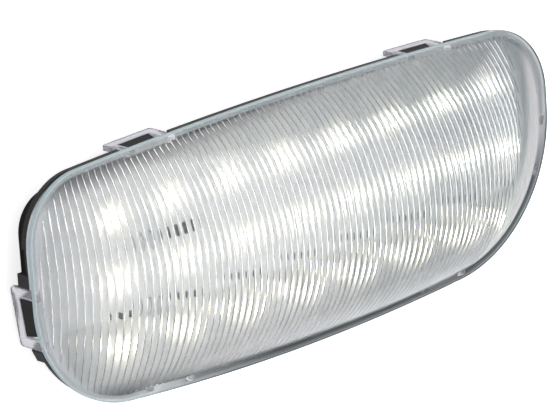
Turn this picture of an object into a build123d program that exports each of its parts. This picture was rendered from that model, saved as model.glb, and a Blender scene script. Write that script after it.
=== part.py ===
from build123d import *
from math import acos, ceil, cos, pi, sin, sqrt
import os

os.makedirs("parts", exist_ok=True)

# Car dome light: a ribbed clear lens clipped by moulded loops to a black base, over a board of lamps.
# All lengths are in millimetres. The lamp lies on its back: Z is out through the lens, X is along it.

# Plan of the lamp
LENS_LENGTH = 200.0
LENS_WIDTH = 75.5
UPPER_BOW = 3.3
LOWER_BOW = 6.7
LEFT_UPPER_CORNER = 19.2
RIGHT_UPPER_CORNER = 22.7
LEFT_LOWER_CORNER = 34.7
RIGHT_LOWER_CORNER = 42.9

# Lens
SEAT_Z = 14.0
FLANGE_WIDTH = 1.2
FLANGE_THICK = 1.5
DOME_RISE = 20.9
DOME_LEAN = 0.30
END_ROLL = 3.3
DOME_REACH = 0.985
DOME_STEPS = 8
LENS_WALL = 1.2
RIB_PITCH = 2.15
RIB_HEIGHT = 0.8
ARCH_FACETS = 12
HOLLOW_START = 0.2

# Snap loops moulded on the lens
LOOP_WIDTH = 18.0
LOOP_REACH = 10.0
LOOP_BAR = 3.0
LOOP_THICK = 1.5
LOOP_INSET = 0.9
LOOP_ROUND = 1.2
SIDE_LOOP_X = 54.0
END_LOOP_Y = -4.0
END_LOOP_SET = 0.7

# Base moulding
RIM_INSET = 0.7
RIM_DEPTH = 1.6
TRAY_INSET = 8.0
TRAY_WALL = 2.0
FLOOR_THICK = 2.0
BACK_ROUND = 1.2
LOOP_CLEAR = 0.4
BARB_REACH = 1.7
BARB_LEAD = 2.2
CATCH_GAP = 0.3
GUIDE_WIDTH = 4.0
GUIDE_DROP = 4.4
GUIDE_DEPTH = 3.5
RELIEF_LENGTH = 7.4
RELIEF_DEPTH = 0.8

# Fixing holes in the back, for screws from behind the trim panel
FIXING_X = 78.0
FIXING_Y = 12.0
FIXING_HOLE = 3.4
FIXING_DEPTH = 8.0
FIXING_BOSS = 8.0

# Plug recess in the back, with its two blades
PLUG_LENGTH = 24.0
PLUG_WIDTH = 14.0
PLUG_DEPTH = 8.4
PLUG_WALL = 1.6
BLADE_WIDTH = 6.3
BLADE_THICK = 0.8
BLADE_SPACING = 9.0
BLADE_LENGTH = 6.8
TAIL_WIDTH = 2.1
BLADE_CLEAR = 0.05

# Board and the parts on it
BOARD_INSET = 0.9
BOARD_CLEAR = 0.1
BOARD_THICK = 1.6
LAMP_ROWS = 3
LAMP_COLUMNS = 8
LAMP_PITCH_X = 20.5
LAMP_PITCH_Y = 18.2
LAMP_LENGTH = 3.5
LAMP_WIDTH = 2.8
LAMP_HEIGHT = 1.4
LAMP_WELL = 2.4
LAMP_WELL_DEPTH = 0.25
CHIP_LENGTH = 3.2
CHIP_WIDTH = 1.6
CHIP_HEIGHT = 0.6
DIODE_X = -50.0
DIODE_LENGTH = 4.3
DIODE_WIDTH = 2.6
DIODE_HEIGHT = 2.0
SCREW_X = 61.5
SCREW_SHANK = 2.6
SCREW_PILOT = 2.8
SCREW_LENGTH = 8.0
SCREW_HEAD = 5.0
SCREW_HEAD_HEIGHT = 1.8
SCREW_BOSS = 6.5

# Levels and insets that follow
BOARD_TOP = SEAT_Z - BOARD_CLEAR
LEDGE_Z = BOARD_TOP - BOARD_THICK
RIM_Z = LEDGE_Z - RIM_DEPTH
CATCH_Z = SEAT_Z - LOOP_REACH + LOOP_BAR + CATCH_GAP
LATCH_INSET = LOOP_INSET + LOOP_THICK + LOOP_CLEAR
SCREW_Y = LAMP_PITCH_Y / 2
PLUG_ROOF = PLUG_DEPTH + PLUG_WALL


def edge_arc(inset, side):
    """Centre and radius of the upper (side 1) or lower (side -1) long edge's arc, moved inward by inset."""
    bow = UPPER_BOW if side > 0 else LOWER_BOW
    radius = ((LENS_LENGTH / 2) ** 2 + bow**2) / (2 * bow)
    return LENS_WIDTH / 2 - radius, radius - inset


def corner_radius(end, side, inset):
    """Radius of the plan's corner at the left (end -1) or right (end 1) of a long edge."""
    if side > 0:
        radius = RIGHT_UPPER_CORNER if end > 0 else LEFT_UPPER_CORNER
    else:
        radius = RIGHT_LOWER_CORNER if end > 0 else LEFT_LOWER_CORNER
    return radius - inset


def corner_centre(end, side):
    """Distances of a corner's centre from the plan's axes; its arc touches the end and the long edge."""
    centre, radius = edge_arc(0, side)
    corner = corner_radius(end, side, 0)
    x = LENS_LENGTH / 2 - corner
    return x, centre + sqrt((radius - corner) ** 2 - x**2)


def edge_y(x, inset, side):
    """Y of the plan's upper (side 1) or lower (side -1) edge at x, moved inward by inset."""
    end = 1 if x > 0 else -1
    centre, radius = edge_arc(inset, side)
    corner = corner_radius(end, side, inset)
    corner_x, corner_y = corner_centre(end, side)
    if abs(x) <= corner_x * radius / (radius - corner):
        return side * (centre + sqrt(radius**2 - x**2))
    return side * (corner_y + sqrt(corner**2 - (abs(x) - corner_x) ** 2))


def plan(inset, height):
    """The lamp's plan as a face at a height, moved inward by inset: long edges bowed, lower corners wide."""
    half_length = LENS_LENGTH / 2 - inset
    upper_centre, upper_radius = edge_arc(inset, 1)
    lower_centre, lower_radius = edge_arc(inset, -1)
    upper_y = upper_centre + sqrt(upper_radius**2 - half_length**2)
    lower_y = -lower_centre - sqrt(lower_radius**2 - half_length**2)
    with BuildSketch(Plane.XY.offset(height)) as sketch:
        with BuildLine():
            ThreePointArc((-half_length, upper_y), (0, upper_centre + upper_radius), (half_length, upper_y))
            Line((half_length, upper_y), (half_length, lower_y))
            ThreePointArc((half_length, lower_y), (0, -lower_centre - lower_radius), (-half_length, lower_y))
            Line((-half_length, lower_y), (-half_length, upper_y))
        make_face()
        for side, corner_y in ((1, upper_y), (-1, lower_y)):
            for end in (1, -1):
                corner = sketch.vertices().sort_by_distance((end * half_length, corner_y, 0))[0]
                fillet(corner, corner_radius(end, side, inset))
    return sketch.sketch


def dome_rise(x):
    """Height of the dome's crown over its seat at x: rolled off at both ends, taller toward +X."""
    along = x / (LENS_LENGTH / 2 - FLANGE_WIDTH)
    return DOME_RISE * (1 - abs(along) ** END_ROLL) * (1 + DOME_LEAN * along)


def dome_arc(x):
    """Middle, centre height and radius of the dome's arc in the section at x."""
    upper = edge_y(x, FLANGE_WIDTH, 1)
    lower = edge_y(x, FLANGE_WIDTH, -1)
    half = (upper - lower) / 2
    rise = dome_rise(x)
    radius = (half**2 + rise**2) / (2 * rise)
    return (upper + lower) / 2, SEAT_Z + rise - radius, radius


def dome_section(x):
    """One section of the outer dome: its arc over the seat line."""
    middle, centre_z, radius = dome_arc(x)
    half = sqrt(radius**2 - (SEAT_Z - centre_z) ** 2)
    with BuildSketch(Plane.YZ.offset(x)) as sketch:
        with BuildLine():
            ThreePointArc((middle - half, SEAT_Z), (middle, centre_z + radius), (middle + half, SEAT_Z))
            Line((middle + half, SEAT_Z), (middle - half, SEAT_Z))
        make_face()
    return sketch.sketch


def hollow_section(x, wall):
    """One section of the lens's hollow, a wall's thickness inside the dome and open below the seat."""
    middle, centre_z, radius = dome_arc(x)
    inner = radius - wall
    spread = acos((SEAT_Z - centre_z) / inner)
    half = inner * sin(spread)
    points = [(middle + half, SEAT_Z - FLANGE_THICK)]
    for step in range(ARCH_FACETS + 1):
        angle = spread - 2 * spread * step / ARCH_FACETS
        points.append((middle + inner * sin(angle), centre_z + inner * cos(angle)))
    points.append((middle - half, SEAT_Z - FLANGE_THICK))
    with BuildSketch(Plane.YZ.offset(x)) as sketch:
        with BuildLine():
            Polyline(*points, close=True)
        make_face()
    return sketch.sketch


def loop_plane(x, y, out_x, out_y, inset):
    """A plane on the plan's edge: its Z out of the lamp, its X along the edge, its Y up."""
    size = sqrt(out_x**2 + out_y**2)
    out = Vector(out_x / size, out_y / size, 0)
    return Plane(Vector(x, y, SEAT_Z) - out * inset, x_dir=Vector(0, 0, 1).cross(out), z_dir=out)


def end_plane(side, y, inset):
    """A plane on the right (side 1) or left (side -1) end of the plan at y, where the lower corner curves."""
    corner_x, corner_y = corner_centre(side, -1)
    drop = min(y + corner_y, 0)
    bow = sqrt(corner_radius(side, -1, 0) ** 2 - drop**2)
    return loop_plane(side * (corner_x + bow), y, side * bow, drop, inset)


def loop_planes(inset):
    """The six places where the lens clips on: two on each long edge, one on each end."""
    planes = []
    for side in (1, -1):
        radius = edge_arc(0, side)[1]
        for x in (-SIDE_LOOP_X, SIDE_LOOP_X):
            planes.append(loop_plane(x, edge_y(x, 0, side), x, side * sqrt(radius**2 - x**2), inset))
        planes.append(end_plane(side, END_LOOP_Y, inset + END_LOOP_SET))
    return planes


# Lens: one clear moulding with ribs inside, a thin flange and six snap loops
dome_half = LENS_LENGTH / 2 - FLANGE_WIDTH
dome_places = []
for step in range(-DOME_STEPS, DOME_STEPS + 1):
    dome_places.append(DOME_REACH * dome_half * sin(pi / 2 * step / DOME_STEPS))
rib_wall = LENS_WALL + RIB_HEIGHT
half_ribs = ceil(dome_half / RIB_PITCH)
rib_places = [RIB_PITCH * step / 2 for step in range(-2 * half_ribs, 2 * half_ribs + 1)]
rib_places = [x for x in rib_places if dome_rise(x) > rib_wall + HOLLOW_START]
hollow_sections = []
for number, rib_x in enumerate(rib_places):
    hollow_sections.append(hollow_section(rib_x, LENS_WALL + RIB_HEIGHT * (number % 2)))

with BuildPart() as lens:
    extrude(plan(0, SEAT_Z), amount=FLANGE_THICK)
    loft([dome_section(x) for x in dome_places])
    for place in loop_planes(LOOP_INSET):
        with BuildSketch(place) as loop:
            with Locations((0, (FLANGE_THICK - LOOP_REACH) / 2)):
                Rectangle(LOOP_WIDTH, LOOP_REACH + FLANGE_THICK)
            fillet(loop.vertices().group_by(Axis.Z)[0], LOOP_ROUND)
            with Locations((0, (LOOP_BAR - LOOP_REACH) / 2)):
                Rectangle(LOOP_WIDTH - 2 * LOOP_BAR, LOOP_REACH - LOOP_BAR, mode=Mode.SUBTRACT)
        extrude(amount=-LOOP_THICK)
    loft(hollow_sections, ruled=True, mode=Mode.SUBTRACT)
lens.part.label = "lens"
export_step(lens.part, "parts/lens.step")

# Base: one black moulding with a rim that carries the board and the lens, latches, bosses and a plug recess
with BuildPart() as base_housing:
    extrude(plan(TRAY_INSET, 0), amount=RIM_Z)
    fillet(base_housing.edges().group_by(Axis.Z)[0], BACK_ROUND)
    extrude(plan(RIM_INSET, RIM_Z), amount=RIM_DEPTH)
    extrude(plan(TRAY_INSET + TRAY_WALL, FLOOR_THICK), amount=LEDGE_Z - FLOOR_THICK, mode=Mode.SUBTRACT)
    guide_offset = LOOP_WIDTH / 2 + LOOP_CLEAR + GUIDE_WIDTH / 2
    for end in (1, -1):
        relief_y = END_LOOP_Y + guide_offset + (GUIDE_WIDTH + RELIEF_LENGTH) / 2
        with BuildSketch(end_plane(end, relief_y, RIM_INSET)):
            with Locations((0, (RIM_Z + LEDGE_Z) / 2 - SEAT_Z)):
                Rectangle(RELIEF_LENGTH, RIM_DEPTH)
        extrude(amount=-RELIEF_DEPTH, mode=Mode.SUBTRACT)
        for side in (1, -1):
            with BuildSketch(end_plane(end, END_LOOP_Y + side * guide_offset, RIM_INSET)):
                with Locations((0, LEDGE_Z - SEAT_Z - GUIDE_DROP / 2)):
                    Rectangle(GUIDE_WIDTH, GUIDE_DROP)
            extrude(amount=-GUIDE_DEPTH)
    for place in loop_planes(LATCH_INSET):
        with BuildSketch(place):
            with Locations((0, -LOOP_REACH / 2)):
                Rectangle(LOOP_WIDTH + 2 * LOOP_CLEAR, LOOP_REACH)
        extrude(amount=LATCH_INSET + LOOP_THICK, mode=Mode.SUBTRACT)
        with BuildSketch(place):
            with Locations((0, (CATCH_Z + RIM_Z) / 2 - SEAT_Z)):
                Rectangle(LOOP_WIDTH - 2 * LOOP_BAR - 2 * LOOP_CLEAR, RIM_Z - CATCH_Z)
        extrude(amount=LATCH_INSET - TRAY_INSET - TRAY_WALL / 2)
        barb_side = Plane(place.origin, x_dir=place.z_dir, z_dir=-place.x_dir)
        with BuildSketch(barb_side):
            with BuildLine():
                Polyline((0, -BARB_LEAD), (BARB_REACH, CATCH_Z - SEAT_Z), (0, CATCH_Z - SEAT_Z), close=True)
            make_face()
        extrude(amount=LOOP_WIDTH / 2 - LOOP_BAR - LOOP_CLEAR, both=True)
    with BuildSketch(Plane.XY):
        with GridLocations(2 * FIXING_X, 2 * FIXING_Y, 2, 2):
            Circle(FIXING_BOSS / 2)
    extrude(amount=FIXING_DEPTH + FLOOR_THICK)
    with BuildSketch(Plane.XY):
        with GridLocations(2 * FIXING_X, 2 * FIXING_Y, 2, 2):
            Circle(FIXING_HOLE / 2)
    extrude(amount=FIXING_DEPTH, mode=Mode.SUBTRACT)
    with BuildSketch(Plane.XY.offset(FLOOR_THICK)):
        with GridLocations(2 * SCREW_X, 2 * SCREW_Y, 2, 2):
            Circle(SCREW_BOSS / 2)
            Circle(SCREW_PILOT / 2, mode=Mode.SUBTRACT)
    extrude(amount=LEDGE_Z - FLOOR_THICK)
    with BuildSketch(Plane.XY):
        Rectangle(PLUG_LENGTH + 2 * PLUG_WALL, PLUG_WIDTH + 2 * PLUG_WALL)
    extrude(amount=PLUG_ROOF)
    with BuildSketch(Plane.XY):
        Rectangle(PLUG_LENGTH, PLUG_WIDTH)
    extrude(amount=PLUG_DEPTH, mode=Mode.SUBTRACT)
    with BuildSketch(Plane.XY):
        with GridLocations(BLADE_SPACING, 0, 2, 1):
            Rectangle(BLADE_THICK + 2 * BLADE_CLEAR, TAIL_WIDTH + 2 * BLADE_CLEAR)
    extrude(amount=PLUG_ROOF, mode=Mode.SUBTRACT)
base_housing.part.label = "base_housing"
export_step(base_housing.part, "parts/base_housing.step")

# Board: white, clamped between the base's rim and the lens, notched for the loops, with holes for screws and tails
with BuildPart() as lamp_board:
    extrude(plan(BOARD_INSET, LEDGE_Z), amount=BOARD_THICK)
    for place in loop_planes(LATCH_INSET):
        with BuildSketch(place):
            with Locations((0, -LOOP_REACH / 2)):
                Rectangle(LOOP_WIDTH + 2 * LOOP_CLEAR, LOOP_REACH)
        extrude(amount=LATCH_INSET + LOOP_THICK, mode=Mode.SUBTRACT)
    with BuildSketch(Plane.XY.offset(LEDGE_Z)):
        with GridLocations(2 * SCREW_X, 2 * SCREW_Y, 2, 2):
            Circle(SCREW_PILOT / 2)
        with GridLocations(BLADE_SPACING, 0, 2, 1):
            Rectangle(BLADE_THICK + 2 * BLADE_CLEAR, TAIL_WIDTH + 2 * BLADE_CLEAR)
    extrude(amount=BOARD_THICK, mode=Mode.SUBTRACT)
lamp_board.part.label = "lamp_board"
export_step(lamp_board.part, "parts/lamp_board.step")

# Lamps: a grid of small white packages, each with a round well over its chip
for row in range(LAMP_ROWS):
    for column in range(LAMP_COLUMNS):
        lamp_x = (column - (LAMP_COLUMNS - 1) / 2) * LAMP_PITCH_X
        lamp_y = ((LAMP_ROWS - 1) / 2 - row) * LAMP_PITCH_Y
        with BuildPart() as lamp:
            with BuildSketch(Plane.XY.offset(BOARD_TOP)):
                with Locations((lamp_x, lamp_y)):
                    Rectangle(LAMP_LENGTH, LAMP_WIDTH)
            extrude(amount=LAMP_HEIGHT)
            with BuildSketch(Plane.XY.offset(BOARD_TOP + LAMP_HEIGHT - LAMP_WELL_DEPTH)):
                with Locations((lamp_x, lamp_y)):
                    Circle(LAMP_WELL / 2)
            extrude(amount=LAMP_WELL_DEPTH, mode=Mode.SUBTRACT)
        lamp_name = f"lamp_{row + 1}_{column + 1}"
        lamp.part.label = lamp_name
        export_step(lamp.part, f"parts/{lamp_name}.step")

# Series resistors: one chip for each column of lamps, between the last two rows
for column in range(LAMP_COLUMNS):
    chip_x = (column - (LAMP_COLUMNS - 1) / 2) * LAMP_PITCH_X
    with BuildPart() as resistor:
        with BuildSketch(Plane.XY.offset(BOARD_TOP)):
            with Locations((chip_x, -LAMP_PITCH_Y / 2)):
                Rectangle(CHIP_LENGTH, CHIP_WIDTH)
        extrude(amount=CHIP_HEIGHT)
    resistor_name = f"resistor_{column + 1}"
    resistor.part.label = resistor_name
    export_step(resistor.part, f"parts/{resistor_name}.step")

# Polarity diode on the supply side of the board, between the first two rows
with BuildPart() as polarity_diode:
    with BuildSketch(Plane.XY.offset(BOARD_TOP)):
        with Locations((DIODE_X, LAMP_PITCH_Y / 2)):
            Rectangle(DIODE_LENGTH, DIODE_WIDTH)
    extrude(amount=DIODE_HEIGHT)
polarity_diode.part.label = "polarity_diode"
export_step(polarity_diode.part, "parts/polarity_diode.step")

# Board screws: four pan heads into the base's bosses
with BuildPart() as board_screws:
    with BuildSketch(Plane.XY.offset(BOARD_TOP)):
        with GridLocations(2 * SCREW_X, 2 * SCREW_Y, 2, 2):
            Circle(SCREW_HEAD / 2)
    extrude(amount=SCREW_HEAD_HEIGHT)
    with BuildSketch(Plane.XY.offset(BOARD_TOP)):
        with GridLocations(2 * SCREW_X, 2 * SCREW_Y, 2, 2):
            Circle(SCREW_SHANK / 2)
    extrude(amount=-SCREW_LENGTH)
board_screws.part.label = "board_screws"
export_step(board_screws.part, "parts/board_screws.step")

# Blades: two tabs in the plug recess, their shoulders under its roof and their tails through the board
for blade_name, side in (("supply_blade", -1), ("earth_blade", 1)):
    with BuildPart() as blade:
        with BuildSketch(Plane.YZ.offset(side * BLADE_SPACING / 2)):
            with Locations((0, PLUG_DEPTH - BLADE_LENGTH / 2)):
                Rectangle(BLADE_WIDTH, BLADE_LENGTH)
            with Locations((0, (PLUG_DEPTH + BOARD_TOP) / 2)):
                Rectangle(TAIL_WIDTH, BOARD_TOP - PLUG_DEPTH)
        extrude(amount=BLADE_THICK / 2, both=True)
    blade.part.label = blade_name
    export_step(blade.part, f"parts/{blade_name}.step")
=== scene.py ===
from math import acos, cos, pi, sin, sqrt

import bmesh
import bpy
from mathutils import Matrix, Vector


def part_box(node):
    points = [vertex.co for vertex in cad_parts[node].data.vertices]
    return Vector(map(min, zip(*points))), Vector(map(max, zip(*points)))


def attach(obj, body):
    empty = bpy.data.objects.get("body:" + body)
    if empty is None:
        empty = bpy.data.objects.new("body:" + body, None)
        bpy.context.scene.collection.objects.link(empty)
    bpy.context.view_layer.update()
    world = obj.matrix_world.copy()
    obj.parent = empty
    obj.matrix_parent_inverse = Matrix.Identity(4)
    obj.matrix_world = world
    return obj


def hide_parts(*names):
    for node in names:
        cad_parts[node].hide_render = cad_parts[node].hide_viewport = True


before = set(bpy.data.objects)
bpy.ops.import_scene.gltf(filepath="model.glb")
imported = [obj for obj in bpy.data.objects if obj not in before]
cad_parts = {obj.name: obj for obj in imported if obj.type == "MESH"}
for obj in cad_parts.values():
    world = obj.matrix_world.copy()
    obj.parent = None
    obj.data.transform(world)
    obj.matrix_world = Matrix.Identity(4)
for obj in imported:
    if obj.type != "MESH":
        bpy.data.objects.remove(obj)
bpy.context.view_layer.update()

# Base: one black ABS moulding with a rim for the board and lens, six latches and bosses inside.
# Its skin is spark-eroded, a fine matt grain that catches a little light along the rim.
# The pits are drawn a few times coarser than real ones, so that they show.
MM = 0.001
PIT_SIZE = 0.5 * MM
PIT_DEPTH = 0.05 * MM


def linear(hex_colour):
    """An sRGB hex colour as the linear RGBA that a shader socket takes."""
    levels = [int(hex_colour[i:i + 2], 16) / 255 for i in (1, 3, 5)]
    return [c / 12.92 if c <= 0.04045 else ((c + 0.055) / 1.055) ** 2.4 for c in levels] + [1.0]


def add_node(material, kind, settings=None, **inputs):
    """One node in a material, with its own settings and its input sockets set or linked."""
    tree = material.node_tree
    node = tree.nodes.new(kind)
    for key, value in (settings or {}).items():
        setattr(node, key, value)
    for key, value in inputs.items():
        socket = node.inputs[int(key[1:])] if key[1:].isdigit() else node.inputs[key.replace("_", " ")]
        if isinstance(value, bpy.types.NodeSocket):
            tree.links.new(value, socket)
        else:
            socket.default_value = value
    return node


def new_material(name):
    """An empty node material and its Principled shader."""
    material = bpy.data.materials.new(name)
    material.use_nodes = True
    return material, material.node_tree.nodes["Principled BSDF"]


def dress(node_name, material):
    """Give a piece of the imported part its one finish."""
    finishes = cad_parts[node_name].data.materials
    finishes.clear()
    finishes.append(material)


black_abs, shader = new_material("black_abs_eroded")
shader.inputs["Base Color"].default_value = linear("#090A0B")
shader.inputs["IOR"].default_value = 1.53
where = add_node(black_abs, "ShaderNodeTexCoord").outputs["Object"]
pits = add_node(black_abs, "ShaderNodeTexNoise", Vector=where, Scale=1 / PIT_SIZE, Detail=3.0)
dull = add_node(black_abs, "ShaderNodeMapRange", Value=pits.outputs["Fac"], To_Min=0.38, To_Max=0.58)
black_abs.node_tree.links.new(dull.outputs["Result"], shader.inputs["Roughness"])
bump = add_node(black_abs, "ShaderNodeBump", Height=pits.outputs["Fac"], Strength=0.25, Distance=PIT_DEPTH)
black_abs.node_tree.links.new(bump.outputs["Normal"], shader.inputs["Normal"])
dress("base_housing", black_abs)

# Blades: two tinned brass tabs pressed through the base into the board.
# They are stamped from strip, so their faces are bright with a faint rolling grain.
ROLLING_GRAIN = 1.2 * MM
ROLLING_STRETCH = (1.0, 12.0, 1.0)
tinned_brass, shader = new_material("tinned_brass_strip")
shader.inputs["Base Color"].default_value = linear("#B9AE8C")
shader.inputs["Metallic"].default_value = 1.0
where = add_node(tinned_brass, "ShaderNodeTexCoord").outputs["Object"]
stretch = add_node(tinned_brass, "ShaderNodeMapping", Vector=where, Scale=ROLLING_STRETCH)
rolling = add_node(
    tinned_brass, "ShaderNodeTexNoise", Vector=stretch.outputs["Vector"], Scale=1 / ROLLING_GRAIN)
shine = add_node(tinned_brass, "ShaderNodeMapRange", Value=rolling.outputs["Fac"], To_Min=0.2, To_Max=0.4)
tinned_brass.node_tree.links.new(shine.outputs["Result"], shader.inputs["Roughness"])
for blade_name in ("supply_blade", "earth_blade"):
    dress(blade_name, tinned_brass)

# Board: a glass-epoxy circuit board under white solder mask, clamped between the base's rim and the lens.
# The mask is a thin gloss lacquer with a faint mottle; toward the lamp's taller end its colour is painted
# darker, as painted shade.
# Along both long edges a dark band is painted, wider toward the left end, as painted shade under the lens's
# sloping sides.
MASK_MOTTLE = 9.0 * MM
SHADE_RIGHT_FROM = -20.0 * MM
SHADE_RIGHT_TO = 85.0 * MM
SHADE_BAND_FROM = 31.5 * MM
SHADE_BAND_BLEND = 6.0 * MM
SHADE_BAND_LEAN = 0.06
solder_mask, shader = new_material("white_solder_mask")
shader.inputs["IOR"].default_value = 1.5
shader.inputs["Roughness"].default_value = 0.32
where = add_node(solder_mask, "ShaderNodeTexCoord").outputs["Object"]
mottle = add_node(solder_mask, "ShaderNodeTexNoise", Vector=where, Scale=1 / MASK_MOTTLE, Detail=2.0)
white = add_node(
    solder_mask, "ShaderNodeMix", {"data_type": "RGBA"},
    Factor=mottle.outputs["Fac"], _6=linear("#E3E9ED"), _7=linear("#F1F4F6"))
# Painted shade: the mask's colour darkens from the middle toward the taller end.
spot = add_node(solder_mask, "ShaderNodeSeparateXYZ", Vector=where)
along = add_node(
    solder_mask, "ShaderNodeMapRange", Value=spot.outputs["X"], From_Min=SHADE_RIGHT_FROM, From_Max=SHADE_RIGHT_TO)
shaded_mask = add_node(
    solder_mask, "ShaderNodeMix", {"data_type": "RGBA"},
    Factor=along.outputs["Result"], _6=white.outputs[2], _7=linear("#B7C0C5"))
# Painted shade: a dark band along both long edges of the board, wider toward the left end.
side = add_node(solder_mask, "ShaderNodeMath", {"operation": "ABSOLUTE"}, _0=spot.outputs["Y"])
reach = add_node(
    solder_mask, "ShaderNodeMath", {"operation": "MULTIPLY_ADD"},
    _0=spot.outputs["X"], _1=-SHADE_BAND_LEAN, _2=side.outputs[0])
shade_band = add_node(
    solder_mask, "ShaderNodeMapRange",
    Value=reach.outputs[0], From_Min=SHADE_BAND_FROM, From_Max=SHADE_BAND_FROM + SHADE_BAND_BLEND)
shaded_margin = add_node(
    solder_mask, "ShaderNodeMix", {"data_type": "RGBA"},
    Factor=shade_band.outputs["Result"], _6=shaded_mask.outputs[2], _7=linear("#3A3F43"))
solder_mask.node_tree.links.new(shaded_margin.outputs[2], shader.inputs["Base Color"])
dress("lamp_board", solder_mask)

# Lamps: surface-mount packages of white resin, soldered to the board in three rows.
# Each has a round well of yellow phosphor gel over its chip. The lit gel glows, and the resin round it is
# given a faint painted glow that widens each lit lamp.
# The gel's powder is drawn coarser than it is, so that it shows.
RESIN_FLOW = 0.6 * MM
RESIN_DEPTH = 0.03 * MM
WELL_RADIUS = 1.2 * MM
WELL_DEPTH = 0.25 * MM
GEL_RADIUS = WELL_RADIUS * 0.985
GEL_DEPTH = WELL_DEPTH * 0.9
POWDER_GRAIN = 0.2 * MM
white_resin, shader = new_material("white_package_resin")
shader.inputs["Base Color"].default_value = linear("#EDEBE2")
shader.inputs["Roughness"].default_value = 0.42
where = add_node(white_resin, "ShaderNodeTexCoord").outputs["Object"]
flow = add_node(white_resin, "ShaderNodeTexNoise", Vector=where, Scale=1 / RESIN_FLOW)
bump = add_node(white_resin, "ShaderNodeBump", Height=flow.outputs["Fac"], Strength=0.1, Distance=RESIN_DEPTH)
white_resin.node_tree.links.new(bump.outputs["Normal"], shader.inputs["Normal"])
# Painted glow: the resin gives off a faint light of its own, so each lit lamp looks wider.
shader.inputs["Emission Color"].default_value = linear("#FFF4D2")
shader.inputs["Emission Strength"].default_value = 13.0
gel = bmesh.new()
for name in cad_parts:
    if name.startswith("lamp_") and name != "lamp_board":
        dress(name, white_resin)
        low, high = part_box(name)
        centre = Vector(((low[0] + high[0]) / 2, (low[1] + high[1]) / 2, high[2] - WELL_DEPTH / 2))
        bmesh.ops.create_cone(
            gel, cap_ends=True, segments=24, radius1=GEL_RADIUS, radius2=GEL_RADIUS,
            depth=GEL_DEPTH, matrix=Matrix.Translation(centre))
phosphor_mesh = bpy.data.meshes.new("phosphor_gel")
gel.to_mesh(phosphor_mesh)
gel.free()
phosphor = bpy.data.objects.new("phosphor_gel", phosphor_mesh)
bpy.context.collection.objects.link(phosphor)
lit_phosphor, shader = new_material("lit_phosphor_gel")
shader.inputs["Roughness"].default_value = 0.3
where = add_node(lit_phosphor, "ShaderNodeTexCoord").outputs["Object"]
grain = add_node(lit_phosphor, "ShaderNodeTexNoise", Vector=where, Scale=1 / POWDER_GRAIN)
powder = add_node(
    lit_phosphor, "ShaderNodeMix", {"data_type": "RGBA"},
    Factor=grain.outputs["Fac"], _6=linear("#F2E7A8"), _7=linear("#E8D77E"))
lit_phosphor.node_tree.links.new(powder.outputs[2], shader.inputs["Base Color"])
shader.inputs["Emission Color"].default_value = linear("#FFFCF6")
shader.inputs["Emission Strength"].default_value = 500.0
phosphor_mesh.materials.append(lit_phosphor)
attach(phosphor, "root")

# Resistors and diode: small chips coated in black epoxy, reflowed on the board between the rows of lamps.
# Their tops are dull, so they show as small dark dashes through the ribs of the lens.
EPOXY_SPECK = 0.3 * MM
black_epoxy, shader = new_material("black_chip_epoxy")
shader.inputs["Base Color"].default_value = linear("#17181B")
where = add_node(black_epoxy, "ShaderNodeTexCoord").outputs["Object"]
speck = add_node(black_epoxy, "ShaderNodeTexNoise", Vector=where, Scale=1 / EPOXY_SPECK)
dull = add_node(black_epoxy, "ShaderNodeMapRange", Value=speck.outputs["Fac"], To_Min=0.45, To_Max=0.7)
black_epoxy.node_tree.links.new(dull.outputs["Result"], shader.inputs["Roughness"])
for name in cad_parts:
    if name.startswith("resistor_") or name == "polarity_diode":
        dress(name, black_epoxy)

# Board screws: four zinc-plated pan heads driven through the board into the base's bosses.
# The plating is bright with a slightly mottled, soft gloss.
ZINC_MOTTLE = 1.0 * MM
zinc, shader = new_material("zinc_plated_steel")
shader.inputs["Base Color"].default_value = linear("#B8BCC0")
shader.inputs["Metallic"].default_value = 1.0
where = add_node(zinc, "ShaderNodeTexCoord").outputs["Object"]
mottle = add_node(zinc, "ShaderNodeTexNoise", Vector=where, Scale=1 / ZINC_MOTTLE, Detail=4.0)
shine = add_node(zinc, "ShaderNodeMapRange", Value=mottle.outputs["Fac"], To_Min=0.25, To_Max=0.45)
zinc.node_tree.links.new(shine.outputs["Result"], shader.inputs["Roughness"])
dress("board_screws", zinc)

# Lens: one clear acrylic moulding with an arched dome, a thin flange and six snap loops.
# The outside is polished, and fine ribs run across the inside, so each rib spreads the lamps behind it.
# Its sizes are in millimetres, and its mesh is scaled to metres once it is shaped.
LENS_LENGTH = 200.0
LENS_WIDTH = 75.5
UPPER_BOW = 3.3
LOWER_BOW = 6.7
CORNERS = {(-1, 1): 19.2, (1, 1): 22.7, (-1, -1): 34.7, (1, -1): 42.9}
SEAT_Z = 14.0
FLANGE_WIDTH = 1.2
FLANGE_THICK = 1.5
FLANGE_TOP = SEAT_Z + FLANGE_THICK
DOME_RISE = 20.9
DOME_LEAN = 0.30
END_ROLL = 3.3
LENS_WALL = 1.2
FOOT_WALL = 0.7
RIB_PITCH = 2.15
RIB_HEIGHT = 0.8
RIB_RUNOUT = 0.6
RIB_END = 74.0
RIB_END_SLANT = 0.42
RIB_STEPS = 10
ACROSS = 42
END_STEPS = 10
END_DROP = 0.12
STATIONS = int(LENS_LENGTH / RIB_PITCH * RIB_STEPS) + 2 * END_STEPS
HALVINGS = 50


def edge_arc(side):
    """Centre and radius of the upper (side 1) or lower (side -1) long edge's arc."""
    bow = UPPER_BOW if side > 0 else LOWER_BOW
    radius = ((LENS_LENGTH / 2) ** 2 + bow**2) / (2 * bow)
    return LENS_WIDTH / 2 - radius, radius


def corner_centre(end, side):
    """Distances of a corner's centre from the plan's axes; its arc touches the end and the long edge."""
    centre, radius = edge_arc(side)
    x = LENS_LENGTH / 2 - CORNERS[end, side]
    return x, centre + sqrt((radius - CORNERS[end, side]) ** 2 - x**2)


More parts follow.
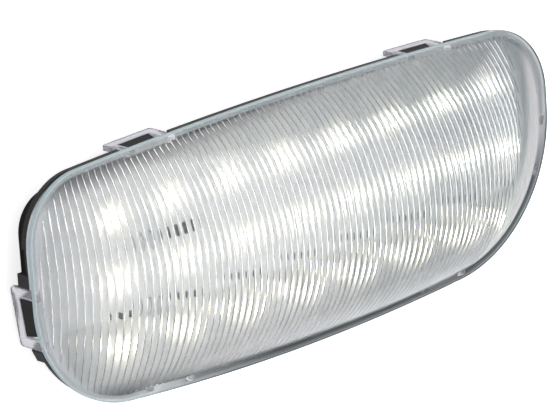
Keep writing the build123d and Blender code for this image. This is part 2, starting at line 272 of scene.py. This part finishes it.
def edge_y(x, inset, side):
    """Y of the plan's upper (side 1) or lower (side -1) edge at x, moved inward by inset."""
    end = 1 if x > 0 else -1
    centre, radius = edge_arc(side)
    corner = CORNERS[end, side]
    corner_x, corner_y = corner_centre(end, side)
    if abs(x) <= corner_x * (radius - inset) / (radius - corner):
        return side * (centre + sqrt((radius - inset) ** 2 - x**2))
    return side * (corner_y + sqrt(max((corner - inset) ** 2 - (abs(x) - corner_x) ** 2, 0.0)))


def on_edge(point, inset, z):
    """The point of the plan's outline, moved inward by inset, that lies outward of a point."""
    end = 1 if point.x > 0 else -1
    side = 1 if point.y > (corner_centre(end, 1)[1] - corner_centre(end, -1)[1]) / 2 else -1
    corner_x, corner_y = corner_centre(end, side)
    away = Vector((abs(point.x) - corner_x, side * point.y - corner_y))
    if away.x <= 0:
        return Vector((point.x, edge_y(point.x, inset, side), z))
    if away.y <= 0:
        return Vector((end * (LENS_LENGTH / 2 - inset), point.y, z))
    away = away.normalized() * (CORNERS[end, side] - inset)
    return Vector((end * (corner_x + away.x), side * (corner_y + away.y), z))


def rise_at(x, inset, wall):
    """Height of the crown at x over the seat, of the outside or of the hollow a wall inside it."""
    along = x / (LENS_LENGTH / 2 - inset)
    return (DOME_RISE - wall) * (1 - abs(along) ** END_ROLL) * (1 + DOME_LEAN * along)


def end_of(side, least, inset, wall):
    """Where the crown comes down to a least height, at the right (side 1) or left end."""
    low = LENS_LENGTH / 4
    high = LENS_LENGTH / 2 - inset
    for halving in range(HALVINGS):
        middle = (low + high) / 2
        if rise_at(side * middle, inset, wall) > least:
            low = middle
        else:
            high = middle
    return side * low


def rib(x, y):
    """Height of a rib at x: round backs that meet in sharp valleys, run out before the taller end."""
    phase = (x / RIB_PITCH) % 1.0 - 0.5
    half = RIB_PITCH / 2
    radius = (half**2 + RIB_HEIGHT**2) / (2 * RIB_HEIGHT)
    left_over = min(max((RIB_END + RIB_END_SLANT * y - x) / RIB_PITCH, 0.0), 1.0)
    return left_over * (sqrt(radius**2 - (2 * phase * half) ** 2) - (radius - RIB_HEIGHT))


def arch(shell, cell, floor_z, inset, wall):
    """A grid bent into the dome's outside, or into the ribbed hollow a wall inside it, down to a floor."""
    ends = [end_of(side, floor_z - SEAT_Z + END_DROP, inset, wall) for side in (-1, 1)]
    first = int(ends[0] / RIB_PITCH * RIB_STEPS) + RIB_STEPS
    last = int(ends[1] / RIB_PITCH * RIB_STEPS) - RIB_STEPS
    stations = [RIB_PITCH / RIB_STEPS * k for k in range(first, last + 1)]
    spare = STATIONS - len(stations)
    left = spare // 2
    right = spare - left
    head = [ends[0] + (stations[0] - ends[0]) * (1 - cos(pi / 2 * k / left)) for k in range(left)]
    tail = [ends[1] + (stations[-1] - ends[1]) * (1 - cos(pi / 2 * k / right)) for k in range(right)]
    stations = head + stations + tail[::-1]
    grid = bmesh.ops.create_grid(shell, x_segments=STATIONS - 1, y_segments=ACROSS, size=0.5)["verts"]
    for vert in grid:
        column = round((vert.co.x + 0.5) * (STATIONS - 1))
        across = vert.co.y * 2
        vert[cell] = column * (ACROSS + 1) + round((vert.co.y + 0.5) * ACROSS)
        x = stations[column]
        upper = edge_y(x, inset, 1)
        lower = edge_y(x, inset, -1)
        half = (upper - lower) / 2
        rise = rise_at(x, inset, wall)
        radius = (half**2 + rise**2) / (2 * rise)
        centre_z = SEAT_Z + rise - radius
        angle = across * acos(min((floor_z - centre_z) / radius, 1.0))
        height = max(centre_z + radius * cos(angle) - floor_z, 0.0)
        if wall:
            radius -= rib(x, radius * sin(angle)) * min(1.0, RIB_RUNOUT * height / (RIB_HEIGHT * cos(angle)))
        vert.co = Vector((x, (upper + lower) / 2 + radius * sin(angle), centre_z + radius * cos(angle)))
        if column in (0, STATIONS - 1):
            vert.co.z = floor_z
    return grid


# The lens's finishes by slot, in the order that they are made below; the polished outside is slot 0.
RIBBED_SLOT = 1
ETCHED_SLOT = 2
LOOP_SLOT = 3
EDGE_SLOT = 4

# The flange is drawn out of the dome's foot ring by ring: its top, its rounded edge and its seat.
EDGE_BAND = 0.45
EDGE_ROUND = 0.25
EDGE_EASE = 0.07
flange_rings = (
    (EDGE_BAND, FLANGE_TOP),
    (EDGE_EASE, FLANGE_TOP - EDGE_EASE),
    (0.0, FLANGE_TOP - EDGE_ROUND),
    (0.0, SEAT_Z + EDGE_ROUND),
    (EDGE_EASE, SEAT_Z + EDGE_EASE),
    (EDGE_ROUND, SEAT_Z),
)
shell = bmesh.new()
cell = shell.verts.layers.int.new("cell")
arch(shell, cell, FLANGE_TOP, FLANGE_WIDTH, 0.0)
rim = [edge for edge in shell.edges if edge.is_boundary]
for inset, z in flange_rings:
    grown = bmesh.ops.extrude_edge_only(shell, edges=rim)["geom"]
    rim = [item for item in grown if isinstance(item, bmesh.types.BMEdge) and item.is_boundary]
    for vert in {vert for edge in rim for vert in edge.verts}:
        vert.co = on_edge(vert.co, inset, z)
    if inset < EDGE_BAND:
        for item in grown:
            if isinstance(item, bmesh.types.BMFace):
                item.material_index = EDGE_SLOT

# The hollow is a second arch; the land between the seat's last ring and the hollow's mouth closes the shell.
MERGE_GAP = 0.0001
hollow = arch(shell, cell, SEAT_Z, FLANGE_WIDTH + FOOT_WALL, LENS_WALL)
for face in {face for vert in hollow for face in vert.link_faces}:
    face.material_index = RIBBED_SLOT
mouth = {vert[cell]: vert.co.copy() for vert in hollow if vert.is_boundary}
land = bmesh.ops.extrude_edge_only(shell, edges=rim)["geom"]
for item in land:
    if isinstance(item, bmesh.types.BMVert):
        item.co = mouth[item[cell]]
    elif isinstance(item, bmesh.types.BMFace):
        item.material_index = ETCHED_SLOT
bmesh.ops.remove_doubles(shell, verts=[vert for vert in shell.verts if vert.is_boundary], dist=MERGE_GAP)
bmesh.ops.recalc_face_normals(shell, faces=shell.faces)
bmesh.ops.scale(shell, vec=(MM, MM, MM), verts=shell.verts)
for face in shell.faces:
    face.smooth = True

# Six loops hang from the flange, two on each long edge and one at each end.
LOOP_WIDTH = 18.0
LOOP_REACH = 10.0
LOOP_ROOT = 0.8
LOOP_BAR = 3.0
LOOP_THICK = 1.5
LOOP_INSET = 0.9
LOOP_ROUND = 1.2
LOOP_EDGE = 0.22
SHARP_ANGLE = 0.9
SIDE_LOOP_X = 54.0
END_LOOP_Y = -4.0
END_LOOP_SET = 0.7


def snap_loop(x, y, out, inset):
    """A U-shaped loop under the flange: an upright ring of two legs and a crossbar, its edges rounded."""
    loop = bmesh.new()
    out = out.normalized()
    along = Vector((-out.y, out.x, 0.0))
    turn = Matrix((along, Vector((0, 0, 1)), out)).transposed().to_4x4()
    hung = Matrix.Translation(Vector((x, y, SEAT_Z)) - out * (inset + LOOP_THICK / 2)) @ turn
    bmesh.ops.create_grid(loop, x_segments=3, y_segments=3, size=0.5)
    columns = (-LOOP_WIDTH / 2, -LOOP_WIDTH / 2 + LOOP_BAR, LOOP_WIDTH / 2 - LOOP_BAR, LOOP_WIDTH / 2)
    rows = (-LOOP_REACH, LOOP_BAR - LOOP_REACH, 0.0, LOOP_ROOT)
    for vert in loop.verts:
        column = columns[round((vert.co.x + 0.5) * 3)]
        row = rows[round((vert.co.y + 0.5) * 3)]
        vert.co = Vector((column, row, -LOOP_THICK / 2))
    window = []
    for face in loop.faces:
        centre = face.calc_center_median()
        if abs(centre.x) < LOOP_WIDTH / 2 - LOOP_BAR and LOOP_BAR - LOOP_REACH < centre.y < 0:
            window.append(face)
    bmesh.ops.delete(loop, geom=window, context="FACES")
    walls = bmesh.ops.extrude_face_region(loop, geom=loop.faces[:])["geom"]
    front = [item for item in walls if isinstance(item, bmesh.types.BMVert)]
    bmesh.ops.translate(loop, vec=(0, 0, LOOP_THICK), verts=front)
    bmesh.ops.recalc_face_normals(loop, faces=loop.faces)
    corners = []
    for edge in loop.edges:
        start, stop = [vert.co for vert in edge.verts]
        crosses = abs(start.z - stop.z) > LOOP_THICK / 2
        if crosses and abs(start.x) > LOOP_WIDTH / 2 - LOOP_EDGE and start.y < LOOP_EDGE - LOOP_REACH:
            corners.append(edge)
    bmesh.ops.bevel(
        loop, geom=corners, offset=LOOP_ROUND, segments=4, profile=0.5, affect="EDGES", material=-1)
    sharp = [edge for edge in loop.edges
             if len(edge.link_faces) == 2 and edge.calc_face_angle() > SHARP_ANGLE]
    bmesh.ops.bevel(
        loop, geom=sharp, offset=LOOP_EDGE, segments=2, profile=0.5, affect="EDGES", material=-1)
    for face in loop.faces:
        centre = face.calc_center_median()
        between_legs = abs(centre.x) < LOOP_WIDTH / 2 - LOOP_BAR + LOOP_EDGE
        over_bar = centre.y > LOOP_BAR - LOOP_REACH - LOOP_EDGE
        face.material_index = ETCHED_SLOT if between_legs and over_bar else LOOP_SLOT
    bmesh.ops.transform(loop, matrix=hung, verts=loop.verts)
    return loop


loop_spots = []
for side in (1, -1):
    radius = edge_arc(side)[1]
    for x in (-SIDE_LOOP_X, SIDE_LOOP_X):
        out = Vector((x, side * sqrt(radius**2 - x**2), 0))
        loop_spots.append((x, edge_y(x, 0, side), out, LOOP_INSET))
    corner_x, corner_y = corner_centre(side, -1)
    drop = min(END_LOOP_Y + corner_y, 0)
    bow = sqrt(CORNERS[side, -1] ** 2 - drop**2)
    out = Vector((side * bow, drop, 0))
    loop_spots.append((side * (corner_x + bow), END_LOOP_Y, out, LOOP_INSET + END_LOOP_SET))
loops = bmesh.new()
for x, y, out, inset in loop_spots:
    loop = snap_loop(x, y, out, inset)
    loop_mesh = bpy.data.meshes.new("loop")
    loop.to_mesh(loop_mesh)
    loop.free()
    loops.from_mesh(loop_mesh)
    bpy.data.meshes.remove(loop_mesh)
bmesh.ops.scale(loops, vec=(MM, MM, MM), verts=loops.verts)
loops_mesh = bpy.data.meshes.new("snap_loops")
loops.to_mesh(loops_mesh)
loops.free()
loops_object = bpy.data.objects.new("snap_loops", loops_mesh)
bpy.context.collection.objects.link(loops_object)
lens_mesh = bpy.data.meshes.new("clear_lens")
shell.to_mesh(lens_mesh)
shell.free()
lens = bpy.data.objects.new("clear_lens", lens_mesh)
bpy.context.collection.objects.link(lens)
TOOL_GRAIN = 1.5 * MM


def acrylic(name, colour, roughness, clear):
    """One finish of the lens: its tint, how matt its face is and how much light goes through it."""
    material, shader = new_material(name)
    shader.inputs["Base Color"].default_value = linear(colour)
    shader.inputs["IOR"].default_value = 1.49
    shader.inputs["Transmission Weight"].default_value = clear
    lens_mesh.materials.append(material)
    loops_mesh.materials.append(material)
    where = add_node(material, "ShaderNodeTexCoord").outputs["Object"]
    grain = add_node(material, "ShaderNodeTexNoise", Vector=where, Scale=1 / TOOL_GRAIN, Detail=3.0)
    dull = add_node(
        material, "ShaderNodeMapRange",
        Value=grain.outputs["Fac"], To_Min=0.7 * roughness, To_Max=1.3 * roughness)
    material.node_tree.links.new(dull.outputs["Result"], shader.inputs["Roughness"])
    return material, shader, where


# The outside is polished, with the shallow waves that the plastic leaves as it shrinks.
SINK_WAVE = 14.0 * MM
SINK_DEPTH = 0.12 * MM
clear_acrylic, shader, where = acrylic("clear_acrylic_moulded", "#FDFDFE", 0.01, 1.0)
sink = add_node(clear_acrylic, "ShaderNodeTexNoise", Vector=where, Scale=1 / SINK_WAVE, Detail=1.0)
wave = add_node(
    clear_acrylic, "ShaderNodeBump", Height=sink.outputs["Fac"], Strength=0.5, Distance=SINK_DEPTH)
clear_acrylic.node_tree.links.new(wave.outputs["Normal"], shader.inputs["Normal"])

# The ribbed hollow is a little hazy toward the left end, and frosted past the line where its ribs stop.
HAZE_FROM = -100.0 * MM
HAZE_TO = 30.0 * MM
FROST_FROM = (RIB_END + 2.0) * MM
FROST_TO = (RIB_END + 10.0) * MM
ribbed_acrylic, shader, where = acrylic("clear_acrylic_ribbed", "#FDFDFE", 0.065, 1.0)
spot = add_node(ribbed_acrylic, "ShaderNodeSeparateXYZ", Vector=where)
haze = add_node(
    ribbed_acrylic, "ShaderNodeMapRange",
    Value=spot.outputs["X"], From_Min=HAZE_FROM, From_Max=HAZE_TO, To_Min=0.94, To_Max=1.0)
slant = add_node(
    ribbed_acrylic, "ShaderNodeMath", {"operation": "MULTIPLY_ADD"},
    _0=spot.outputs["Y"], _1=-RIB_END_SLANT, _2=spot.outputs["X"])
frost = add_node(
    ribbed_acrylic, "ShaderNodeMapRange",
    Value=slant.outputs[0], From_Min=FROST_FROM, From_Max=FROST_TO, To_Min=1.0, To_Max=0.25)
veil = add_node(
    ribbed_acrylic, "ShaderNodeMath", {"operation": "MULTIPLY"},
    _0=haze.outputs["Result"], _1=frost.outputs["Result"])
ribbed_acrylic.node_tree.links.new(veil.outputs[0], shader.inputs["Transmission Weight"])

# The land round the hollow and the edges of the loops' windows are etched and milky; below and at the right
# their colour is painted grey, as painted shade.
ETCHED_PALE = "#F4F9FB"
LAND_SHADE_LEAN = 0.25
LAND_SHADE_FROM = -18.0 * MM
LAND_SHADE_TO = -34.0 * MM
etched_acrylic, shader, where = acrylic("clear_acrylic_etched", ETCHED_PALE, 0.45, 0.25)
# Painted shade: the land's colour darkens from pale to grey toward the lower right.
spot = add_node(etched_acrylic, "ShaderNodeSeparateXYZ", Vector=where)
slant = add_node(
    etched_acrylic, "ShaderNodeMath", {"operation": "MULTIPLY_ADD"},
    _0=spot.outputs["X"], _1=-LAND_SHADE_LEAN, _2=spot.outputs["Y"])
shaded_land = add_node(
    etched_acrylic, "ShaderNodeMapRange", Value=slant.outputs[0], From_Min=LAND_SHADE_FROM, From_Max=LAND_SHADE_TO)
painted_shade_tint = add_node(
    etched_acrylic, "ShaderNodeMix", {"data_type": "RGBA"},
    Factor=shaded_land.outputs["Result"], _6=linear(ETCHED_PALE), _7=linear("#6A7075"))
etched_acrylic.node_tree.links.new(painted_shade_tint.outputs[2], shader.inputs["Base Color"])

# The loops keep the tool's fine satin, so what is behind them shows softly.
acrylic("clear_acrylic_loops", "#F1EFF6", 0.12, 0.85)

# The flange's edge is a pale line that gathers light. Below and at the right its upper corner is painted
# dark, as painted shade.
EDGE_PALE = "#CFE0E5"
EDGE_SHADE_LEAN = 0.5
EDGE_SHADE_FROM = 0.0
EDGE_SHADE_TO = -20.0 * MM
SHADE_CORNER_FROM = (FLANGE_TOP - 0.3) * MM
SHADE_CORNER_TO = (FLANGE_TOP - 0.2) * MM
edge_acrylic, shader, where = acrylic("clear_acrylic_edge", EDGE_PALE, 0.2, 0.3)
shader.inputs["Specular IOR Level"].default_value = 0.1
# Painted shade: the edge's upper corner darkens to near black toward the lower right.
spot = add_node(edge_acrylic, "ShaderNodeSeparateXYZ", Vector=where)
slant = add_node(
    edge_acrylic, "ShaderNodeMath", {"operation": "MULTIPLY_ADD"},
    _0=spot.outputs["X"], _1=-EDGE_SHADE_LEAN, _2=spot.outputs["Y"])
lower = add_node(
    edge_acrylic, "ShaderNodeMapRange",
    Value=slant.outputs[0], From_Min=EDGE_SHADE_FROM, From_Max=EDGE_SHADE_TO)
upper = add_node(
    edge_acrylic, "ShaderNodeMapRange", Value=spot.outputs["Z"], From_Min=SHADE_CORNER_FROM, From_Max=SHADE_CORNER_TO)
edge_shade = add_node(
    edge_acrylic, "ShaderNodeMath", {"operation": "MULTIPLY"},
    _0=lower.outputs["Result"], _1=upper.outputs["Result"])
painted_shade_tint = add_node(
    edge_acrylic, "ShaderNodeMix", {"data_type": "RGBA"},
    Factor=edge_shade.outputs[0], _6=linear(EDGE_PALE), _7=linear("#101316"))
edge_acrylic.node_tree.links.new(painted_shade_tint.outputs[2], shader.inputs["Base Color"])

# The loops are joined to the flange, and the edges between finishes and at sharp bends are left crisp.
CREASE_ANGLE = 0.6
weld = lens.modifiers.new("weld_loops", "BOOLEAN")
weld.operation = "UNION"
weld.solver = "EXACT"
weld.object = loops_object
welded = bpy.data.meshes.new_from_object(lens.evaluated_get(bpy.context.evaluated_depsgraph_get()))
lens.modifiers.clear()
lens.data = welded
bpy.data.objects.remove(loops_object)
bpy.data.meshes.remove(lens_mesh)
welded.name = "clear_lens"
finish = bmesh.new()
finish.from_mesh(welded)
for face in finish.faces:
    face.smooth = True
for edge in finish.edges:
    kinds = {face.material_index for face in edge.link_faces}
    edge.smooth = len(kinds) == 1 and edge.calc_face_angle(0.0) < CREASE_ANGLE
finish.to_mesh(welded)
finish.free()
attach(lens, "root")
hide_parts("lens")

# Studio: a pale floor under the lamp's back, soft light from all round and one broad softbox.
# The floor shows as plain white behind the lamp and still takes its soft shadow.
FLOOR_HALF = 3.0
FLOOR_GLOW = 0.75
floor_mesh = bpy.data.meshes.new("studio_floor")
sweep = bmesh.new()
bmesh.ops.create_grid(sweep, x_segments=1, y_segments=1, size=FLOOR_HALF)
sweep.to_mesh(floor_mesh)
sweep.free()
floor = bpy.data.objects.new("studio_floor", floor_mesh)
bpy.context.collection.objects.link(floor)
paper, shader = new_material("white_paper_sweep")
shader.inputs["Base Color"].default_value = linear("#EDEDED")
shader.inputs["Roughness"].default_value = 0.9
seen = add_node(paper, "ShaderNodeLightPath")
through = add_node(
    paper, "ShaderNodeMath", {"operation": "MAXIMUM"},
    _0=seen.outputs["Is Camera Ray"], _1=seen.outputs["Is Transmission Ray"])
glow = add_node(paper, "ShaderNodeMath", {"operation": "MULTIPLY"}, _0=through.outputs[0], _1=FLOOR_GLOW)
shader.inputs["Emission Color"].default_value = linear("#FFFFFF")
paper.node_tree.links.new(glow.outputs[0], shader.inputs["Emission Strength"])
floor_mesh.materials.append(paper)
world = bpy.data.worlds.new("studio_air")
bpy.context.scene.world = world
world.use_nodes = True
air = world.node_tree.nodes["Background"]
air.inputs["Color"].default_value = linear("#EBEBEE")
air.inputs["Strength"].default_value = 0.4
softbox_light = bpy.data.lights.new("softbox_over", "AREA")
softbox_light.size = 3.0
softbox_light.energy = 31.0
softbox = bpy.data.objects.new("softbox_over", softbox_light)
softbox.location = (0.0, 0.3, 1.6)
aim = Vector((0.0, 0.0, 0.0))
softbox.rotation_euler = (aim - softbox.location).to_track_quat("-Z", "Y").to_euler()
bpy.context.collection.objects.link(softbox)

# Camera: a long lens on a stand, looking down over the lamp's left end and its upper long edge.
# It is rolled a little, so the lamp lies across the picture and rises to the right.
camera_data = bpy.data.cameras.new("studio_camera")
camera_data.lens = 323.35
camera_data.sensor_width = 36.0
camera_data.clip_end = 20.0
camera = bpy.data.objects.new("studio_camera", camera_data)
right = Vector((0.724712, -0.066859, 0.685801))
down = Vector((-0.253905, -0.951159, 0.175582))
ahead = Vector((0.640566, -0.301375, -0.706292))
stand = Vector((-0.898256, 0.423716, 0.994052))
turn = Matrix((right, -down, -ahead)).transposed().to_4x4()
camera.matrix_world = Matrix.Translation(stand) @ turn
bpy.context.collection.objects.link(camera)
bpy.context.scene.camera = camera
bpy.context.scene.view_settings.view_transform = "Standard"
